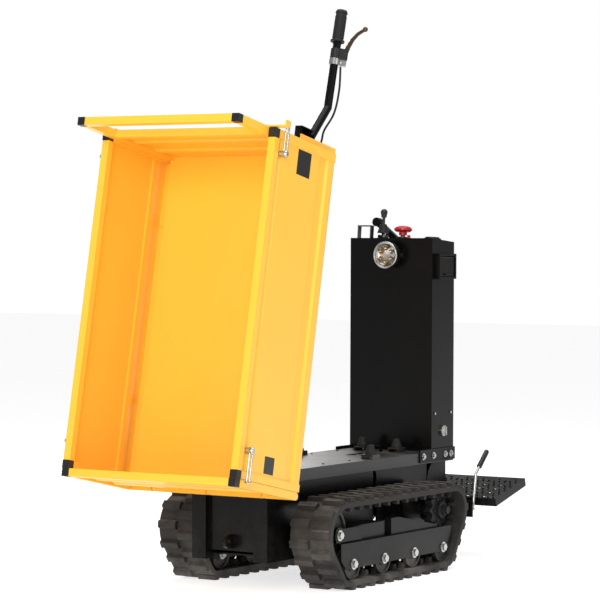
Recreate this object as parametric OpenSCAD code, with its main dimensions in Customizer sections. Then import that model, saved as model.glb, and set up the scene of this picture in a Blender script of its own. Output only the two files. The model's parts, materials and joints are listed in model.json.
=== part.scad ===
// Tracked power wheelbarrow: battery column, tipping gated bed and two rubber tracks.
// Millimetres, +X forward, +Y to the machine's left, +Z up, tracks stand on z = 0.

/* [Bed] */
// outside length from the front gate to the headboard
bed_l = 1322; // [1200:1:1450]
// outside width of the front gate
bed_w = 774; // [740:1:820]
// height of the front and side gates
gate_h = 431; // [330:1:470]
// height of the headboard posts above the bed's underside
head_h = 636; // [560:1:760]
// square tube of the bed
tube = 30; // [26:1:34]
// rest angle of the tipped bed
tip_angle = 78.5; // [60:0.5:80]
// how far each side gate slides out
side_travel = 150; // [60:5:170]

/* [Tracks] */
// distance from the middle to each belt's centre line
track_y = 304; // [296:1:330]
// width of the rubber belt
belt_w = 180; // [160:1:200]
// thickness of the belt without its lugs
belt_t = 19; // [14:1:22]
// height of the tread lugs
lug_h = 17; // [10:1:22]
// tread blocks round one belt
lug_count = 34; // [28:1:38]
// radius of the bottom rollers
roller_r = 59.5; // [50:0.5:60]
// radius of the front idler
idler_r = 107.5; // [98:0.5:107.5]

/* [Chassis] */
// height of the deck
deck_z = 462; // [440:1:480]
// width of the deck and column
deck_w = 398; // [360:1:410]
// thickness of the deck plate
deck_t = 4; // [3:0.5:6]

/* [Column] */
// front of the column
column_x = -583; // [-600:1:-580]
// depth of the column
column_d = 188; // [170:1:220]
// height of the column's front edge
column_top = 1352; // [1180:1:1500]
// how much lower the rear edge is
column_drop = 16; // [4:1:30]
// diameter of the headlight
lamp_d = 114; // [90:1:130]
// diameter of the emergency stop
estop_d = 76; // [50:1:80]
// thickness of the column's sheet
skin = 3; // [2:0.5:4]

/* [Rear] */
// width of the operator platform
step_w = 760; // [620:5:780]
// depth of the operator platform
step_d = 278; // [220:1:300]
// rest angle of the platform
step_angle = 14; // [8:1:16]

/* [Fits] */
// radial clearance of a shaft in its hole
running = 0.08; // [0.05:0.01:0.1]
// gap between moving faces
gap = 0.5; // [0.3:0.1:1]

/* [Hidden] */
$fn = 48;
eps = 0.01;
// the bed's pivot in the machine, and the bed's corner from it when lowered
pivot_x = 681.6;
pivot_z = 427;
corner_fwd = 68.4;
corner_up = 73;
pivot_r = 12;
// plastic end caps
cap_wall = 0.3;
cap_len = 30;
// bed levels and widths in the lowered bed's own frame, front outer corner at 0
floor_z = 33.5;
floor_t = 4;
floor_under = floor_z - floor_t;
floor_hw = bed_w / 2 - 42;
gate_hw = bed_w / 2 + 2;
side_in = gate_hw - tube;
side_front = -tube - 1;
side_back = -bed_l + 4;
head_hw = side_in - 0.4;
head_in = head_hw - tube;
rail_y = 208;
rail_w = 30;
rail_h = 36;
rail_z = -38;
arm_s = 25;
guide_s = floor_under - rail_z - rail_h;
guide_xs = [-331, -1030];
hinge_x = -15;
hinge_z = 15;
hinge_r = 6;
hinge_ys = [-250, 0, 250];
latch_w = 384;
latch_front_x = -136;
latch_back_x = side_back + 89;
latch_y = gate_hw + 17;
bail_d = 7;
bail_len = 116;
// tracks
belt_in = belt_t + lug_h;
loop_top = belt_in + 284;
idler_hole = idler_r + gap;
sprocket_r = 79.5;
front_low = [395, belt_in + 40];
idler_c = [415, loop_top - idler_hole];
drive_c = [-438, loop_top - sprocket_r - gap];
back_low = [-372, belt_in + roller_r + gap];
wheels = [front_low, idler_c, drive_c, back_low];
wheel_rs = [40, idler_hole, sprocket_r + gap, roller_r + gap];
roller_xs = [335, 100, -136, -372];
roller_z = belt_in + roller_r + gap;
roller_w = 126;
roller_disc = 15;
axle_r = 12;
guide_h = 24;
// chassis
body_hw = 172;
plate = 6;
body_front = 640;
body_low = 115;
deck_front = 640;
deck_back = column_x - column_d;
flange_h = 46;
deck_hw = deck_w / 2;
rear_x = -752;
col_hw = deck_hw - 1;
buffer_h = 55.5;
buffer_spots = [[-494, -82], [-494, 82], [-130, -172], [-130, 172]];
// column furniture
lamp_z = column_top - 71;
lamp_x = column_x + 26;
stick_c = [-680, -97];
estop_c = [-680, 0];
gauge_c = [-680, 143];
// arm beside the joystick: lean and length
arm_lean = 52;
arm_len = 112;
// platform
step_x = -782;
lever_x = -776;
lever_y = 291;
lever_z = 214;
step_z = 222;
step_pin = 9;
step_off = 36;
// the whole machine is moved so that its box is centred on the origin
far_front = pivot_x + corner_fwd * cos(tip_angle) + (corner_up + gate_h) * sin(tip_angle);
far_back = step_x - (step_d + step_off) * cos(step_angle) - 6 * sin(step_angle);
shift_x = -(far_front + far_back) / 2;
// handle on the bed
handle_y = head_in + tube / 2;
handle_r = 15.5;
// turn of the lever round the handle
lever_swing = -48;

// ---------- track path: tangents round the four wheels ----------
function nrm(i) =
  let(a = wheels[i], b = wheels[(i + 1) % 4], d = b - a)
  atan2(d[1], d[0]) - acos((wheel_rs[i] - wheel_rs[(i + 1) % 4]) / norm(d));
function up_to(a, b) = b < a - 1e-6 ? up_to(a, b + 360) : b;
function arc_of(i) = up_to(nrm((i + 3) % 4), nrm(i)) - nrm((i + 3) % 4);
function run_of(i) =
  let(a = wheels[i], b = wheels[(i + 1) % 4], r = wheel_rs[i] - wheel_rs[(i + 1) % 4])
  sqrt((b - a) * (b - a) - r * r);
function arc_len(i) = arc_of(i) * PI / 180 * (wheel_rs[i] + belt_t / 2);
function total(i = 0) = i > 3 ? 0 : arc_len(i) + run_of(i) + total(i + 1);
function place(s, i = 0) =
  s < arc_len(i)
    ? let(n = nrm((i + 3) % 4) + s / arc_len(i) * arc_of(i))
      [wheels[i][0] + wheel_rs[i] * cos(n), wheels[i][1] + wheel_rs[i] * sin(n), n]
    : s < arc_len(i) + run_of(i)
    ? let(n = nrm(i), t = s - arc_len(i))
      [wheels[i][0] + wheel_rs[i] * cos(n) - t * sin(n), wheels[i][1] + wheel_rs[i] * sin(n) + t * cos(n), n]
    : place(s - arc_len(i) - run_of(i), (i + 1) % 4);

// ---------- helpers ----------
module tipped() {
  translate([pivot_x, 0, pivot_z])
    rotate([0, tip_angle, 0])
      translate([corner_fwd, 0, corner_up])
        children();
}
module block(a, b) {
  translate([min(a[0], b[0]), min(a[1], b[1]), min(a[2], b[2])])
    cube([abs(b[0] - a[0]), abs(b[1] - a[1]), abs(b[2] - a[2])]);
}
// cylinder along Y from y0 to y1 at x, z
module rod_y(x, z, y0, y1, r) {
  translate([x, min(y0, y1), z])
    rotate([-90, 0, 0])
      cylinder(h = abs(y1 - y0), r = r);
}
module rod_x(y, z, x0, x1, r) {
  translate([min(x0, x1), y, z])
    rotate([0, 90, 0])
      cylinder(h = abs(x1 - x0), r = r);
}
module rod_z(x, y, z0, z1, r) {
  translate([x, y, min(z0, z1)])
    cylinder(h = abs(z1 - z0), r = r);
}
// a side profile in x, z pulled from y0 to y1
module slab_y(y0, y1) {
  translate([0, max(y0, y1), 0])
    rotate([90, 0, 0])
      linear_extrude(abs(y1 - y0))
        children();
}
module hexhead_y(x, z, y, out, r = 9, t = 7) {
  translate([x, out > 0 ? y : y - t, z])
    rotate([-90, 0, 0])
      cylinder(h = t, r = r, $fn = 6);
}
module both_sides() {
  children();
  mirror([0, 1, 0])
    children();
}

// ---------- tracks, drawn for the left side ----------
module loop_shape(grow) {
  hull()
    for (i = [0:3])
      translate(wheels[i])
        circle(r = wheel_rs[i] + grow, $fn = 96);
}
module belt_left() {
  step = total() / lug_count;
  slab_y(track_y - belt_w / 2, track_y + belt_w / 2)
    difference() {
      loop_shape(belt_t);
      loop_shape(0);
    }
  for (k = [0:lug_count - 1], side = [0, 1]) {
    p = place((k + side * 0.5) * step);
    translate([p[0], 0, p[1]])
      rotate([0, -p[2], 0])
        slab_y(side == 0 ? track_y - belt_w / 2 + 4 : track_y + 4,
          side == 0 ? track_y - 4 : track_y + belt_w / 2 - 4)
          polygon([[belt_t - 1, -19], [belt_t + lug_h, -13], [belt_t + lug_h, 13], [belt_t - 1, 19]]);
  }
  for (k = [0:lug_count - 1], side = [-1, 1]) {
    p = place((k + 0.25) * step);
    translate([p[0], 0, p[1]])
      rotate([0, -p[2], 0])
        slab_y(track_y + side * 24, track_y + side * 46)
          polygon([[1, -14], [-guide_h, -8], [-guide_h, 8], [1, 14]]);
  }
}
module roller_left(x) {
  difference() {
    union() {
      for (s = [-1, 1])
        rod_y(x, roller_z, track_y + s * roller_w / 2, track_y + s * (roller_w / 2 - roller_disc), roller_r);
      rod_y(x, roller_z, track_y - roller_w / 2 + 1, track_y + roller_w / 2 - 1, 30);
    }
    rod_y(x, roller_z, track_y - 80, track_y + 80, axle_r + running);
    for (s = [-1, 1])
      translate([x, track_y + s * roller_w / 2, roller_z])
        rotate([-90, 0, 0])
          difference() {
            cylinder(h = 12, r = roller_r - 8, center = true);
            cylinder(h = 14, r = 27, center = true);
          }
  }
}
module idler_left() {
  difference() {
    union() {
      rod_y(idler_c[0], idler_c[1], track_y - 18, track_y + 18, idler_r);
      rod_y(idler_c[0], idler_c[1], track_y - 34, track_y + 34, 34);
    }
    rod_y(idler_c[0], idler_c[1], track_y - 40, track_y + 40, axle_r + running);
    for (s = [-1, 1])
      translate([idler_c[0], track_y + s * 18, idler_c[1]])
        rotate([-90, 0, 0])
          difference() {
            cylinder(h = 16, r = idler_r - 13, center = true);
            cylinder(h = 18, r = 36, center = true);
          }
  }
}
module sprocket_left() {
  teeth = 11;
  translate([drive_c[0], 0, drive_c[1]])
    slab_y(track_y - 15, track_y + 15)
      difference() {
        union() {
          circle(r = 63);
          for (k = [0:teeth - 1])
            rotate(k * 360 / teeth)
              polygon([[58, -13], [sprocket_r - 3, -7], [sprocket_r, -3], [sprocket_r, 3],
                [sprocket_r - 3, 7],
                [58, 13]]);
        }
        circle(r = 20);
      }
  rod_y(drive_c[0], drive_c[1], track_y + 15, track_y + 32, 36);
  rod_y(drive_c[0], drive_c[1], track_y + 15, track_y + 44, 20);
  hexhead_y(drive_c[0], drive_c[1], track_y + 44, 1, 17, 12);
  for (k = [0:5])
    hexhead_y(drive_c[0] + 49 * cos(k * 60), drive_c[1] + 49 * sin(k * 60), track_y + 15, 1, 7, 6);
  difference() {
    rod_y(drive_c[0], drive_c[1], track_y - 24, track_y + 15.5, 19.9);
    rod_y(drive_c[0], drive_c[1], track_y - 25, track_y + 5, 14 + running);
  }
}
module track_frame_left() {
  y0 = track_y - 69;
  y1 = track_y + 69;
  difference() {
    union() {
      slab_y(y1 - 5, y1)
        polygon([[-400, 80], [392, 80], [428, 116], [428, 180], [-440, 180], [-440, 140]]);
      slab_y(y0, y0 + 5)
        polygon([[-400, 80], [392, 80], [428, 116], [428, 180], [-440, 180], [-440, 140]]);
      block([-440, y0, 175], [428, y1, 180]);
    }
    // room for the idler and the sprocket in the channel's top
    block([300, track_y - 48, 170], [500, track_y + 48, 190]);
    block([-500, track_y - 60, 170], [-350, track_y + 60, 190]);
  }
  // idler arm and fork
  block([60, track_y - 42, 180], [290, track_y + 42, 238]);
  for (s = [-1, 1]) {
    block([250, track_y + s * 41, 184], [440, track_y + s * 54, 236]);
    rod_y(idler_c[0], idler_c[1], track_y + s * 42, track_y + s * 54, 32);
  }
  // rear arm towards the gearbox
  slab_y(track_y + 22, track_y + 52)
    polygon([[-350, 180], [20, 180], [20, 246], [-40, 246], [-350, 190]]);
  // outriggers to the chassis
  for (x = [230, -290])
    block([x - 40, body_hw, 118], [x + 40, y0, 172]);
  block([190, y0 - 1, 172], [270, y0 + 6, 180]);
}
module axles_left() {
  for (x = roller_xs) {
    rod_y(x, roller_z, track_y - 69, track_y + 69, axle_r);
  }
  rod_y(idler_c[0], idler_c[1], track_y - 54, track_y + 54, axle_r);
}
// guard bolts, tensioner rod and its nuts
module track_bolts_left() {
  for (p = concat([for (x = roller_xs) [x, roller_z, 69]], [[idler_c[0], idler_c[1], 54]]), s = [-1, 1]) {
    rod_y(p[0], p[1], track_y + s * p[2], track_y + s * (p[2] + 2.5), 21);
    hexhead_y(p[0], p[1], track_y + s * (p[2] + 2.5), s, 15, 9);
  }
  rod_x(track_y + 8, 206, 21, 60, 9);
  translate([26, track_y + 8, 206])
    rotate([0, 90, 0])
      cylinder(h = 12, r = 16, $fn = 6);
  block([14, track_y - 12, 180.01], [21, track_y + 21, 236]);
}
module gearmotor_left() {
  x = drive_c[0];
  z = drive_c[1];
  rod_y(x, z, body_hw, track_y - 56, 46);
  rod_y(x, z, track_y - 56, track_y - 26, 33);
  rod_y(x, z, track_y - 26, track_y + 4, 14);
  for (k = [0:5])
    hexhead_y(x + 39 * cos(k * 60 + 30), z + 39 * sin(k * 60 + 30), track_y - 56, 1, 6, 5);
}
module belt_l_shape() { color([0.13, 0.12, 0.11]) belt_left(); }
module belt_r_shape() { color([0.13, 0.12, 0.11]) mirror([0, 1, 0]) belt_left(); }
module rollers_l1_shape() { color([0.16, 0.16, 0.17]) roller_left(roller_xs[0]); }
module rollers_l2_shape() { color([0.16, 0.16, 0.17]) roller_left(roller_xs[1]); }
module rollers_l3_shape() { color([0.16, 0.16, 0.17]) roller_left(roller_xs[2]); }
module rollers_l4_shape() { color([0.16, 0.16, 0.17]) roller_left(roller_xs[3]); }
module rollers_r1_shape() { color([0.16, 0.16, 0.17]) mirror([0, 1, 0]) roller_left(roller_xs[0]); }
module rollers_r2_shape() { color([0.16, 0.16, 0.17]) mirror([0, 1, 0]) roller_left(roller_xs[1]); }
module rollers_r3_shape() { color([0.16, 0.16, 0.17]) mirror([0, 1, 0]) roller_left(roller_xs[2]); }
module rollers_r4_shape() { color([0.16, 0.16, 0.17]) mirror([0, 1, 0]) roller_left(roller_xs[3]); }
module idler_l_shape() { color([0.18, 0.18, 0.19]) idler_left(); }
module idler_r_wheel_shape() { color([0.18, 0.18, 0.19]) mirror([0, 1, 0]) idler_left(); }
module sprocket_l_shape() { color([0.2, 0.2, 0.21]) sprocket_left(); }
module sprocket_r_wheel_shape() { color([0.2, 0.2, 0.21]) mirror([0, 1, 0]) sprocket_left(); }
module track_frames_shape() {
  color([0.15, 0.15, 0.16])
    both_sides() {
      track_frame_left();
      axles_left();
    }
}
module gearmotors_shape() { color([0.25, 0.25, 0.26]) both_sides() gearmotor_left(); }

// ---------- chassis ----------
module chassis_frame_shape() {
  color([0.13, 0.13, 0.14]) {
    both_sides() {
      // side plate, open at the wiring bay
      slab_y(body_hw - plate, body_hw)
        polygon([[body_front, body_low], [body_front, deck_z - deck_t], [deck_back, deck_z - deck_t],
          [deck_back, 416], [-588, 416], [-588, 330], [-560, 210], [-180, 210], [-175, 400],
          [-160, 416], [-150, 416],
          [-150, 130], [430, 130], [452, body_low]]);
      slab_y(body_hw - plate, body_hw)
        polygon([[rear_x, 160], [rear_x, 420], [-640, 420], [-604, 380], [-588, 330], [-560, 210],
          [-150, 210],
          [-150, 130], [-700, 130]]);
      // pivot ear at the front
      difference() {
        hull() {
          rod_y(pivot_x, pivot_z, body_hw - plate, body_hw, 27);
          block([600, body_hw - plate, 396], [610, body_hw, 455]);
        }
        rod_y(pivot_x, pivot_z, 0, 400, pivot_r + running);
      }
    }
    // front posts and recessed panel
    for (s = [-1, 1])
      block([body_front - 62, s * (body_hw - 6), body_low], [body_front, s * (body_hw - 63), 400]);
    difference() {
      block([body_front - 30, -112, 150], [body_front - 24, 112, deck_z - deck_t]);
      rod_x(0, 400, body_front - 60, body_front, 22);
    }
    // cross members and belly plate
    block([-150, -body_hw + plate, 130], [body_front - 62, body_hw - plate, 136]);
    block([rear_x, -body_hw + plate, 160], [rear_x + 6, body_hw - plate, deck_z - deck_t]);
    block([-700, -body_hw + plate, 130], [-150, body_hw - plate, 136]);
    // ears that carry the platform
    for (s = [-1, 1])
      difference() {
        hull() {
          rod_y(step_x, step_z, s * 140, s * 152, 20);
          block([rear_x - 1, s * 140, step_z - 42], [rear_x + 3, s * 152, step_z + 42]);
        }
        rod_y(step_x, step_z, s * 130, s * 160, step_pin + running);
      }
    // column foot plates
    for (s = [-1, 1])
        block([-774, s * deck_hw, 422], [-478, s * (deck_hw + 6), 474]);
    // striker for the bed lock
    for (s = [-1, 1])
        block([-473, s * 20, deck_z], [-457, s * 26, deck_z + 30]);
      rod_y(-465, deck_z + 22, -20, 20, 6);
    // tow eye
    difference() {
        hull() {
          block([body_front - 24, -8, 160], [body_front - 23, 8, 215]);
          rod_y(body_front + 14, 186, -8, 8, 22);
        }
        rod_y(body_front + 14, 186, -20, 20, 12);
      }
    // bracket of the platform lever
    difference() {
      union() {
        block([rear_x, body_hw, 182], [rear_x + 8, 305, 250]);
        hull() {
          rod_y(lever_x, lever_z, 276, 284, 14);
          block([rear_x + 1, 276, 190], [rear_x + 2, 284, 240]);
        }
      }
      rod_y(lever_x, lever_z, 260, 320, 7 + running);
    }
  }
}
module deck_plate_shape() {
  color([0.33, 0.33, 0.34]) {
    difference() {
      union() {
        block([deck_back, -deck_hw, deck_z - deck_t], [deck_front, deck_hw, deck_z]);
        for (s = [-1, 1])
          block([deck_back, s * deck_hw, deck_z - flange_h], [deck_front, s * (deck_hw - deck_t), deck_z]);
        for (s = [-1, 1])
          block([deck_front - 4, s * (body_hw + 3), deck_z - flange_h], [deck_front, s * deck_hw, deck_z]);
      }
      // slot for the cable loom
      hull() {
        rod_z(-470, 0, deck_z - 20, deck_z + 2, 14);
        rod_z(-250, 0, deck_z - 20, deck_z + 2, 14);
      }
    }
    // channels that carry the rubber buffers
    for (p = buffer_spots)
      translate([p[0], p[1], deck_z])
        difference() {
          translate([-30, -26, 0])
            cube([60, 52, 18]);
          translate([-31, -21, -1])
            cube([62, 42, 14]);
          cylinder(h = 40, r = 5);
        }
  }
}
module buffers_shape() {
  color([0.06, 0.06, 0.06])
    for (p = buffer_spots)
      translate([p[0], p[1], deck_z + 18]) {
        cylinder(h = 8, r = 23);
        translate([0, 0, 8])
          cylinder(h = buffer_h - 18 - 8, r1 = 21, r2 = 12);
        translate([0, 0, -9])
          cylinder(h = 9, r = 5);
      }
}
module wiring_shape() {
  color([0.6, 0.1, 0.08])
    for (k = [0:2])
      rod_z(-444 - k * 13, 130 + k * 8, 136, deck_z - deck_t, 4);
}

// ---------- column ----------
module column_profile(inset) {
  polygon([[column_x - inset, deck_z], [column_x - inset, column_top - inset],
    [column_x - column_d + inset, column_top - column_drop - inset], [column_x - column_d + inset, deck_z]]);
}
module column_shell_shape() {
  color([0.14, 0.14, 0.15])
    difference() {
      slab_y(-col_hw, col_hw)
        column_profile(0);
      translate([0, 0, -eps])
        slab_y(-col_hw + skin, col_hw - skin)
          column_profile(skin);
      rod_y(-677, 545, 100, 300, 11);
      on_top(estop_c)
        translate([0, 0, -40])
          cylinder(h = 80, r = 16);
      on_top(stick_c)
        translate([0, 0, -40])
          cylinder(h = 80, r = 24);
    }
  lamp_bracket_shape();
}
// everything on the column's sloping top is drawn level and leaned back with it
module on_top(c) {
  translate([c[0], c[1], column_top - column_drop * (column_x - c[0]) / column_d + 0.1])
    rotate([0, -atan(column_drop / column_d), 0])
      children();
}
module grab_bracket_shape() {
  color([0.3, 0.3, 0.31])
    on_top([-640, -160]) {
      translate([-12, -33, 0])
        cube([24, 5, 58]);
      translate([-12, 28, 0])
        cube([24, 5, 58]);
      translate([-12, -33, 53])
        cube([24, 66, 5]);
    }
}
module top_arm_shape() {
  color([0.07, 0.07, 0.07])
    on_top([-738, -72]) {
      cylinder(h = 12, r = 18);
      translate([0, 0, 12])
        rotate([arm_lean, 0, 0])
          translate([-12, -13, 0])
            cube([24, 26, arm_len]);
      translate([-15, -arm_len * sin(arm_lean), 12 + arm_len * cos(arm_lean)])
        rotate([0, 90, 0])
          cylinder(h = 30, r = 19);
    }
}
module joystick_base_shape() {
  color([0.08, 0.08, 0.08])
    on_top(stick_c)
      difference() {
        union() {
          cylinder(h = 6, r = 36);
          translate([0, 0, -22])
            cylinder(h = 22, r = 23.7);
        }
        translate([0, 0, 14])
          sphere(r = 24);
      }
}
module joystick_cradle_shape() {
  color([0.3, 0.3, 0.3])
    on_top(stick_c)
      difference() {
        translate([0, 0, 14])
          sphere(r = 23.4);
        translate([0, 0, 21])
          cylinder(h = 30, r = 40);
        translate([0, 0, 14])
          rotate([0, 90, 0])
            cylinder(h = 80, r = 5 + running, center = true);
        translate([0, 0, 14])
          rotate([90, 0, 0])
            cylinder(h = 80, r = 3, center = true);
        translate([-40, -11, 6])
          cube([80, 22, 60]);
      }
}
module joystick_lever_shape() {
  color([0.06, 0.06, 0.06])
    on_top(stick_c) {
      translate([0, 0, 14])
        rotate([0, 90, 0])
          cylinder(h = 36, r = 5, center = true);
      translate([0, 0, 9])
        cylinder(h = 20, r = 7);
      translate([0, 0, 29])
        cylinder(h = 38, r1 = 26, r2 = 13);
      translate([0, 0, 67])
        cylinder(h = 40, r = 6);
      translate([0, 0, 95])
        cylinder(h = 22, r1 = 11, r2 = 14);
      translate([0, 0, 117])
        sphere(r = 15);
    }
}
module estop_base_shape() {
  color([0.07, 0.07, 0.07])
    on_top(estop_c)
      difference() {
        union() {
          cylinder(h = 12, r = 30);
          translate([0, 0, -26])
            cylinder(h = 27, r = 15.7);
        }
        translate([0, 0, -20])
          cylinder(h = 60, r = 10 + running);
      }
}
module estop_head_shape() {
  color([0.75, 0.05, 0.05])
    on_top(estop_c) {
      translate([0, 0, -12])
        cylinder(h = 50, r = 10);
      translate([0, 0, 20])
        cylinder(h = 18, r = 17);
      translate([0, 0, 34])
        cylinder(h = 6, r1 = estop_d / 2 - 8, r2 = estop_d / 2 - 1);
      translate([0, 0, 40])
        cylinder(h = 7, r = estop_d / 2);
      translate([0, 0, 47])
        cylinder(h = 6, r1 = estop_d / 2, r2 = estop_d / 2 - 4);
      translate([0, 0, 53])
        cylinder(h = 5, r1 = estop_d / 2 - 4, r2 = estop_d / 2 - 16);
    }
}
module panel_fittings_shape() {
  estop_base_shape();
  top_gauge_shape();
}
module top_gauge_shape() {
  color([0.05, 0.05, 0.05])
    on_top(gauge_c) {
      cylinder(h = 7, r = 37);
      cylinder(h = 12, r = 30);
    }
}
module red_key_shape() {
  color([0.75, 0.06, 0.05])
    on_top([-640, 52]) {
      cylinder(h = 6, r = 11);
      translate([-9, -2.5, 5])
        cube([18, 5, 12]);
    }
}
module lamp_bracket_shape() {
  color([0.1, 0.1, 0.1]) {
    for (s = [-1, 1])
      difference() {
        block([column_x, s * (lamp_d / 2 + 1.5), lamp_z - 17],
          [lamp_x + 14, s * (lamp_d / 2 + 6), lamp_z + 17]);
        rod_y(lamp_x, lamp_z, s * (lamp_d / 2 - 5), s * (lamp_d / 2 + 12), 5 + running);
      }
    block([column_x, -lamp_d / 2 - 6, lamp_z - 17], [column_x + 4, lamp_d / 2 + 6, lamp_z + 17]);
  }
}
module lamp_shape() {
  color([0.1, 0.1, 0.1]) {
    difference() {
      union() {
        rod_x(0, lamp_z, lamp_x - 12, lamp_x + 12, lamp_d / 2 - 3);
        rod_x(0, lamp_z, lamp_x + 12, lamp_x + 22, lamp_d / 2);
      }
      rod_x(0, lamp_z, lamp_x + 5, lamp_x + 30, lamp_d / 2 - 8);
    }
    for (s = [-1, 1]) {
      rod_y(lamp_x, lamp_z, s * (lamp_d / 2 - 5), s * (lamp_d / 2 + 6.5), 5);
      hexhead_y(lamp_x, lamp_z, s * (lamp_d / 2 + 6.5), s, 9, 5);
    }
  }
}
module lamp_lens_shape() {
  color([0.85, 0.87, 0.9, 0.4])
    rod_x(0, lamp_z, lamp_x + 22, lamp_x + 26, lamp_d / 2 - 6);
}
module port_housing_shape() {
  color([0.06, 0.06, 0.06])
    difference() {
      block([-748, col_hw, lamp_z - 100], [-604, col_hw + 24, lamp_z + 6]);
      block([-738, col_hw + 6, lamp_z - 90], [-614, col_hw + 30, lamp_z - 4]);
      rod_x(col_hw + 18, lamp_z - 9.5, -760, -590, 3 + running);
    }
}
module port_flap_shape() {
  color([0.07, 0.07, 0.07]) {
    rod_x(col_hw + 18, lamp_z - 9.5, -747, -605, 3);
    block([-736, col_hw + 16, lamp_z - 88], [-616, col_hw + 20, lamp_z - 9.5]);
    block([-700, col_hw + 20, lamp_z - 84], [-652, col_hw + 26, lamp_z - 76]);
  }
}
module side_latch_shape() {
  color([0.7, 0.71, 0.73]) {
    rod_y(-677, 545, col_hw - 14, col_hw + 10, 11 - running);
    rod_y(-677, 545, col_hw + gap, col_hw + 9, 22);
    block([-680, col_hw + 8, 527], [-674, col_hw + 20, 563]);
    block([-683, col_hw - 18, 510], [-671, col_hw - 13, 556]);
  }
}
module fasteners_shape() {
  color([0.68, 0.69, 0.7]) {
    both_sides()
      track_bolts_left();
    for (s = [-1, 1], x = [-505, -590, -690, -738]) {
      rod_y(x, 447, s * (deck_hw + 6), s * (deck_hw + 8), 14);
      hexhead_y(x, 447, s * (deck_hw + 8), s, 9, 6);
    }
    for (x = [-610, -745])
      hexhead_y(x, 620, col_hw, 1, 6, 4);
  }
}

// ---------- platform and its lever ----------
module lifted() {
  translate([step_x, 0, step_z])
    rotate([0, step_angle, 0])
      children();
}
module platform_shape() {
  color([0.14, 0.14, 0.15])
    lifted() {
      difference() {
        translate([-step_d - step_off, -step_w / 2, -6])
          cube([step_d, step_w, 34]);
        translate([-step_d - step_off + 4, -step_w / 2 + 4, -8])
          cube([step_d - 8, step_w - 8, 32]);
        for (i = [0:4], j = [-4:4])
          translate([-62 - i * 50, j * 78, 20])
            cylinder(h = 20, r = 9);
      }
      for (s = [-1, 1]) {
        translate([-step_off - 6, s > 0 ? 154 : -166, -12])
          cube([step_off + 6, 12, 24]);
        rod_y(0, 0, s * 154, s * 166, 16);
        rod_y(0, 0, s * 134, s * 166, step_pin);
        hexhead_y(0, 0, s * 166, s, 14, 6);
      }
    }
}
module park_lever_shape() {
  color([0.75, 0.76, 0.78]) {
    rod_y(lever_x, lever_z, 270, lever_y + 7, 7);
    translate([lever_x, lever_y, lever_z])
      rotate([0, -10, 0])
        cylinder(h = 150, r = 6);
    translate([lever_x - 150 * sin(10), lever_y, lever_z + 150 * cos(10)]) {
      sphere(r = 6.3);
      rotate([0, -48, 0])
        cylinder(h = 50, r = 6);
    }
  }
}
module park_grip_shape() {
  color([0.05, 0.05, 0.05])
    translate([lever_x - 150 * sin(10), lever_y, lever_z + 150 * cos(10)])
      rotate([0, -48, 0])
        translate([0, 0, 38])
          difference() {
            union() {
              cylinder(h = 86, r = 11);
              translate([0, 0, 86])
                sphere(r = 11);
            }
            translate([0, 0, -1])
              cylinder(h = 13, r = 6);
          }
}

// ---------- tipping bed ----------
module bed_frame_shape() {
  color([1, 0.72, 0.2])
    tipped() {
      for (s = [-1, 1])
        block([-bed_l + tube, s * rail_y, rail_z], [-40, s * (rail_y + rail_w), rail_z + rail_h]);
      // sleeves that the side gates' arms slide in
      for (x = guide_xs)
        difference() {
          block([x - guide_s, -floor_hw, rail_z + rail_h], [x, floor_hw, floor_under]);
          block([x - guide_s + 3, -floor_hw - 1, rail_z + rail_h + 3],
            [x - 3, floor_hw + 1, floor_under - 3]);
        }
      // front and rear cross tubes
      block([-88, -floor_hw, rail_z + rail_h], [-48, floor_hw, floor_under]);
      block([-bed_l + tube + 24, -floor_hw, rail_z + rail_h], [-bed_l + tube, floor_hw, floor_under]);
      // pads that meet the rubber buffers
      for (p = buffer_spots)
        translate([p[0] - pivot_x - corner_fwd - 34, p[1] - 30, 18.5])
          cube([68, 60, floor_under - 18.5]);
      // pivot ears
      for (s = [-1, 1])
        difference() {
          hull() {
            rod_y(-corner_fwd, -corner_up, s * 178, s * 188, 25);
            block([-88, s * 178, rail_z + rail_h], [-48, s * 188, rail_z + rail_h + 4]);
          }
          rod_y(-corner_fwd, -corner_up, s * 170, s * 200, pivot_r - 1);
        }
      for (s = [-1, 1]) {
        rod_y(-corner_fwd, -corner_up, s * 160, s * 188, pivot_r);
        hexhead_y(-corner_fwd, -corner_up, s * 188, s, 18, 9);
      }
      block([-bed_l + tube, -floor_hw, floor_under], [-tube - 3, floor_hw, floor_z]);
      // hinge ears of the front gate
      for (y = hinge_ys)
        difference() {
          hull() {
            rod_y(hinge_x, hinge_z, y - 6, y + 6, 11);
            block([-60, y - 6, 2], [-50, y + 6, floor_under]);
          }
          rod_y(hinge_x, hinge_z, y - 20, y + 20, hinge_r + running);
        }
      // hook carrier
      for (s = [-1, 1])
        difference() {
          block([-1240, s * 9, -6], [-1180, s * 15, floor_under]);
          rod_y(-1205, 3, s * 5, s * 20, 6 + running);
        }
    }
}
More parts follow.
